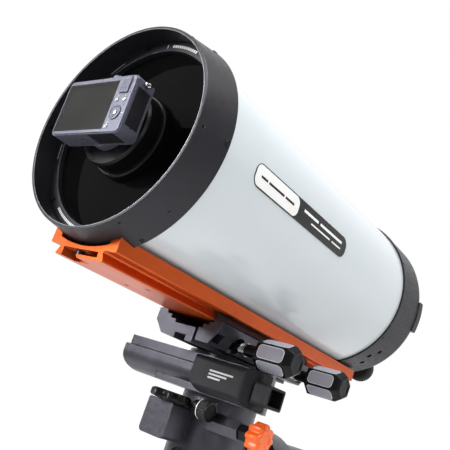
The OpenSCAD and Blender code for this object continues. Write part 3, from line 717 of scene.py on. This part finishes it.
motor_lo, motor_hi = extent("dec_motor_cover", tube)
screw_y, screw_z = motor_lo.y + 12, motor_lo.z + 0.2
cap_screws("cover_screw",
           [(x, screw_y, screw_z) for x in (motor_lo.x + 22, motor_lo.x + 60, motor_hi.x - 12)],
           tube, "dec_unit", (0, 0, -1))


def altitude_scale():
    """Plain ticks on an arc round the altitude axis, on the outer side of the yoke's right arm."""
    place = about("altitude_knob_turn")
    face = extent("yoke", Matrix.Identity(4))[1].x - place.translation.x / MM
    first, step, outer = 150, 6, 30

    def on_arm(u, v, h):
        a = math.radians(u)
        return Vector((v * math.cos(a), v * math.sin(a), face + h))

    ticks = []
    for k in range(21):
        a = first + step * k
        inner = 27.5 if k % 5 else 26
        ticks.append([(a - 0.5, inner), (a + 0.5, inner), (a + 0.5, outer), (a - 0.5, outer)])
    film("altitude_scale", ticks, 0.15, on_arm, place, white_print, "yoke")


altitude_scale()


def level():
    """A round bubble level on the yoke's base ring, in front of its arms."""
    ring_front, ring_height = -0.078, 0.030
    top = Matrix.Translation((0, ring_front, ring_height))
    turned("level_case",
           [(0, 8, 0), (2.6, 8, 0), (3.2, 7.4, 0), (3.2, 6, 0), (2.2, 5.8, 0), (2.2, 0.1, 0)],
           top, finishes["camera_trim"], "yoke", around=48)
    vial = finish_of("level_vial", (0.35, 0.55, 0.06), 0.1, grain=200, coat=0.5, edge=0.0002)
    turned("level_vial", [(2.25, 5.7, 0), (2.7, 5.4, 0), (3.0, 4, 0), (3.1, 0.1, 0)], top, vial, "yoke",
           around=48)


level()


# ---- floor, light and camera ----

# Where the camera stands, in metres, and which way it looks
photo_spot = Vector((0.5534, -0.7371, 0.6801))
heading, pitch = math.radians(40.175), math.radians(-8.08)
view_direction = Vector((-math.sin(heading) * math.cos(pitch), math.cos(heading) * math.cos(pitch),
                         math.sin(pitch)))


def smooth_range(tree, value, low, high, to_low=0.0, to_high=1.0):
    """A smooth step between two values, as a socket."""
    step = tree.nodes.new("ShaderNodeMapRange")
    step.interpolation_type = "SMOOTHSTEP"
    for key, number in (("From Min", low), ("From Max", high), ("To Min", to_low), ("To Max", to_high)):
        step.inputs[key].default_value = number
    tree.links.new(value, step.inputs["Value"])
    return step.outputs["Result"]


def vector_step(tree, operation, vector):
    """One vector operation on a socket, as a node."""
    step = tree.nodes.new("ShaderNodeVectorMath")
    step.operation = operation
    tree.links.new(vector, step.inputs[0])
    return step


def along_view(tree, vector):
    """How far a direction or a place lies towards the backdrop, as a socket."""
    dot = vector_step(tree, "DOT_PRODUCT", vector)
    dot.inputs[1].default_value = view_direction
    return dot.outputs["Value"]


def backdrop(tree, direction):
    """The room's brightness in a direction, as a socket: white behind the object, dimmer elsewhere."""
    return smooth_range(tree, along_view(tree, direction), 0.35, 0.86, 0.42, 1.0)


def floor():
    """A pale floor that fades into the backdrop all round, and sooner behind the object."""
    bm = bmesh.new()
    bmesh.ops.create_grid(bm, x_segments=1, y_segments=1, size=30.0)
    mesh = bpy.data.meshes.new("floor")
    bm.to_mesh(mesh)
    bm.free()
    piece = bpy.data.objects.new("floor", mesh)
    piece.location.z = cad_box[0].z - 0.0003
    material = finish_of("pale_floor", (0.80, 0.80, 0.80), 0.6, grain=40, bump=0.02, mottle=0.01,
                         specular=0.2)
    tree = material.node_tree
    place = tree.nodes.new("ShaderNodeTexCoord").outputs["Object"]
    glow = tree.nodes.new("ShaderNodeEmission")
    outwards = vector_step(tree, "SUBTRACT", place)
    outwards.inputs[1].default_value = photo_spot
    direction = vector_step(tree, "NORMALIZE", outwards.outputs["Vector"]).outputs["Vector"]
    tree.links.new(backdrop(tree, direction), glow.inputs["Strength"])
    faded = tree.nodes.new("ShaderNodeMath")
    faded.operation = "MAXIMUM"
    distance = vector_step(tree, "LENGTH", place).outputs["Value"]
    tree.links.new(smooth_range(tree, along_view(tree, place), 0.05, 0.6), faded.inputs[0])
    tree.links.new(smooth_range(tree, distance, 0.8, 4.0), faded.inputs[1])
    blend = tree.nodes.new("ShaderNodeMixShader")
    tree.links.new(faded.outputs[0], blend.inputs[0])
    tree.links.new(tree.nodes["Principled BSDF"].outputs[0], blend.inputs[1])
    tree.links.new(glow.outputs[0], blend.inputs[2])
    tree.links.new(blend.outputs[0], tree.nodes["Material Output"].inputs["Surface"])
    mesh.materials.append(material)
    bpy.context.scene.collection.objects.link(piece)


def softbox(name, place, size, power, aim):
    """A square lamp of a size in metres and a power in watts, turned to a point."""
    data = bpy.data.lights.new(name, "AREA")
    data.shape, data.size, data.energy = "SQUARE", size, power
    lamp = bpy.data.objects.new(name, data)
    lamp.location = place
    lamp.rotation_euler = (aim - Vector(place)).to_track_quat("-Z", "Y").to_euler()
    bpy.context.scene.collection.objects.link(lamp)


def studio():
    """A white backdrop behind the object, a dimmer room elsewhere, and three soft lamps."""
    world = bpy.data.worlds.new("studio")
    bpy.context.scene.world = world
    world.use_nodes = True
    tree = world.node_tree
    direction = tree.nodes.new("ShaderNodeTexCoord").outputs["Generated"]
    tree.links.new(backdrop(tree, direction), tree.nodes["Background"].inputs["Strength"])
    tree.nodes["Background"].inputs["Color"].default_value = (1.0, 1.0, 1.0, 1.0)
    middle = (cad_box[0] + cad_box[1]) / 2
    softbox("key", (-0.9, -1.5, 1.9), 0.9, 66, middle)
    softbox("fill", (1.8, -0.6, 1.1), 1.0, 4, middle)
    softbox("rim", (0.9, 0.7, 2.4), 1.3, 56, middle)
    bpy.context.scene.view_settings.view_transform = "Standard"


def photo_camera():
    """The picture's camera, with a lens length and a sensor width in millimetres."""
    data = bpy.data.cameras.new("photo_camera")
    data.sensor_width = 36.0
    data.lens = 52.2
    shot = bpy.data.objects.new("photo_camera", data)
    shot.location = photo_spot
    shot.rotation_euler = view_direction.to_track_quat("-Z", "Y").to_euler()
    bpy.context.scene.collection.objects.link(shot)
    bpy.context.scene.camera = shot


floor()
studio()
photo_camera()
